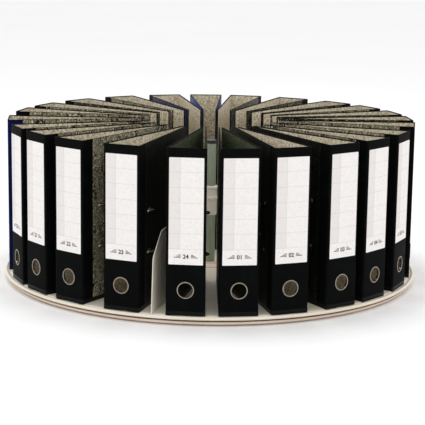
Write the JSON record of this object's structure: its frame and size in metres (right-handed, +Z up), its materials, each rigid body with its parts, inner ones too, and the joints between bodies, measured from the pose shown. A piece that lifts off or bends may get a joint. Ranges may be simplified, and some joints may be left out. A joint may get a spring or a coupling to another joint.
{
  "type": "rotary file carousel",
  "caption": "Round turntable on a ball bearing that holds upright lever arch files side by side, spines outwards, round a fixed centre column.",
  "frame": {"origin": "on the table under the centre column, at the bottom of the feet", "axes": "+Z up along the column; -Y towards the gap that faces the viewer, +X to the right"},
  "size_m": [0.874, 0.874, 0.3365],
  "materials": {
    "cream_plastic": "satin moulded plastic",
    "base_plastic": "satin moulded plastic, a warmer cream",
    "column_paint": "smooth light grey-green enamel",
    "black_plastic": "moulded black plastic",
    "rubber": "matt rubber",
    "steel": "zinc plated steel",
    "black_file": "board covered with black cloth and dark marbled paper, light marbled lining",
    "blue_file": "board covered with cobalt blue cloth",
    "navy_file": "board covered with navy cloth",
    "label_paper": "matt white paper with faint grey ruled lines",
    "nickel": "bright nickel plate"
  },
  "bodies": {
    "stand": {"base_pan": "base_plastic", "foot_1": "rubber", "foot_2": "rubber", "foot_3": "rubber", "foot_4": "rubber", "lower_race": "steel", "column_flange": "steel", "column": "column_paint", "column_cap": "black_plastic", "stacking_collar": "cream_plastic"},
    "bearing_cage": {"ball_cage": "steel"},
    "turntable": {"tray": "cream_plastic", "upper_race": "steel", "hub_bush": "base_plastic", "divider_1": "cream_plastic", "divider_2": "cream_plastic", "divider_3": "cream_plastic"},
    "file_01": {"file_01_case": "black_file", "file_01_front_cover": "black_file", "file_01_label": "label_paper", "file_01_finger_ring": "nickel", "file_01_mechanism_base": "steel", "file_01_arch_wire": "nickel", "file_01_lever": "nickel"},
    "compressor": {"file_01_compressor_bar": "black_plastic"},
    "file_02": {"file_02": "black_file"},
    "file_03": {"file_03": "black_file"},
    "file_04": {"file_04": "black_file"},
    "file_05": {"file_05": "black_file"},
    "file_06": {"file_06": "black_file"},
    "file_07": {"file_07": "black_file"},
    "file_08": {"file_08": "black_file"},
    "file_09": {"file_09": "black_file"},
    "file_10": {"file_10": "black_file"},
    "file_11": {"file_11": "black_file"},
    "file_12": {"file_12": "black_file"},
    "file_13": {"file_13": "blue_file"},
    "file_14": {"file_14": "navy_file"},
    "file_15": {"file_15": "black_file"},
    "file_16": {"file_16": "black_file"},
    "file_17": {"file_17": "black_file"},
    "file_18": {"file_18": "black_file"},
    "file_19": {"file_19": "blue_file"},
    "file_20": {"file_20": "black_file"},
    "file_21": {"file_21": "black_file"},
    "file_22": {"file_22": "black_file"},
    "file_23": {"file_23": "black_file"},
    "file_24": {"file_24": "black_file"}
  },
  "joints": [
    {"name": "turntable_spin", "type": "hinge", "parent": "stand", "child": "turntable", "pos_m": [0, 0, 0.0105], "axis": [0, 0, 1], "continuous": true},
    {"name": "cage_spin", "type": "hinge", "parent": "stand", "child": "bearing_cage", "pos_m": [0, 0, 0.0105], "axis": [0, 0, 1], "continuous": true},
    {"name": "file_01_pull", "type": "slide", "parent": "turntable", "child": "file_01", "axis": [0.1305, -0.9914, 0], "range_m": [0, 0.15]},
    {"name": "file_02_pull", "type": "slide", "parent": "turntable", "child": "file_02", "axis": [0.3584, -0.9336, 0], "range_m": [0, 0.15]},
    {"name": "file_03_pull", "type": "slide", "parent": "turntable", "child": "file_03", "axis": [0.5948, -0.8039, 0], "range_m": [0, 0.15]},
    {"name": "file_04_pull", "type": "slide", "parent": "turntable", "child": "file_04", "axis": [0.7604, -0.6494, 0], "range_m": [0, 0.15]},
    {"name": "file_05_pull", "type": "slide", "parent": "turntable", "child": "file_05", "axis": [0.9026, -0.4305, 0], "range_m": [0, 0.15]},
    {"name": "file_06_pull", "type": "slide", "parent": "turntable", "child": "file_06", "axis": [0.9903, -0.1392, 0], "range_m": [0, 0.15]},
    {"name": "file_07_pull", "type": "slide", "parent": "turntable", "child": "file_07", "axis": [0.9954, 0.0958, 0], "range_m": [0, 0.15]},
    {"name": "file_08_pull", "type": "slide", "parent": "turntable", "child": "file_08", "axis": [0.9483, 0.3173, 0], "range_m": [0, 0.15]},
    {"name": "file_09_pull", "type": "slide", "parent": "turntable", "child": "file_09", "axis": [0.8434, 0.5373, 0], "range_m": [0, 0.15]},
    {"name": "file_10_pull", "type": "slide", "parent": "turntable", "child": "file_10", "axis": [0.6884, 0.7254, 0], "range_m": [0, 0.15]},
    {"name": "file_11_pull", "type": "slide", "parent": "turntable", "child": "file_11", "axis": [0.454, 0.891, 0], "range_m": [0, 0.15]},
    {"name": "file_12_pull", "type": "slide", "parent": "turntable", "child": "file_12", "axis": [0.1908, 0.9816, 0], "range_m": [0, 0.15]},
    {"name": "file_13_pull", "type": "slide", "parent": "turntable", "child": "file_13", "axis": [-0.0349, 0.9994, 0], "range_m": [0, 0.15]},
    {"name": "file_14_pull", "type": "slide", "parent": "turntable", "child": "file_14", "axis": [-0.2672, 0.9636, 0], "range_m": [0, 0.15]},
    {"name": "file_15_pull", "type": "slide", "parent": "turntable", "child": "file_15", "axis": [-0.515, 0.8572, 0], "range_m": [0, 0.15]},
    {"name": "file_16_pull", "type": "slide", "parent": "turntable", "child": "file_16", "axis": [-0.7314, 0.682, 0], "range_m": [0, 0.15]},
    {"name": "file_17_pull", "type": "slide", "parent": "turntable", "child": "file_17", "axis": [-0.887, 0.4617, 0], "range_m": [0, 0.15]},
    {"name": "file_18_pull", "type": "slide", "parent": "turntable", "child": "file_18", "axis": [-0.9724, 0.2334, 0], "range_m": [0, 0.15]},
    {"name": "file_19_pull", "type": "slide", "parent": "turntable", "child": "file_19", "axis": [-0.9962, -0.0872, 0], "range_m": [0, 0.15]},
    {"name": "file_20_pull", "type": "slide", "parent": "turntable", "child": "file_20", "axis": [-0.9171, -0.3987, 0], "range_m": [0, 0.15]},
    {"name": "file_21_pull", "type": "slide", "parent": "turntable", "child": "file_21", "axis": [-0.8039, -0.5948, 0], "range_m": [0, 0.15]},
    {"name": "file_22_pull", "type": "slide", "parent": "turntable", "child": "file_22", "axis": [-0.6361, -0.7716, 0], "range_m": [0, 0.15]},
    {"name": "file_23_pull", "type": "slide", "parent": "turntable", "child": "file_23", "axis": [-0.3907, -0.9205, 0], "range_m": [0, 0.15]},
    {"name": "file_24_pull", "type": "slide", "parent": "turntable", "child": "file_24", "axis": [-0.1045, -0.9945, 0], "range_m": [0, 0.15]},
    {"name": "compressor_slide", "type": "slide", "parent": "file_01", "child": "compressor", "axis": [0.9999, 0.0139, 0], "range_m": [0, 0.035]}
  ],
  "couplings": [
    {"joint": "cage_spin", "follows": "turntable_spin", "ratio": 0.5}
  ]
}
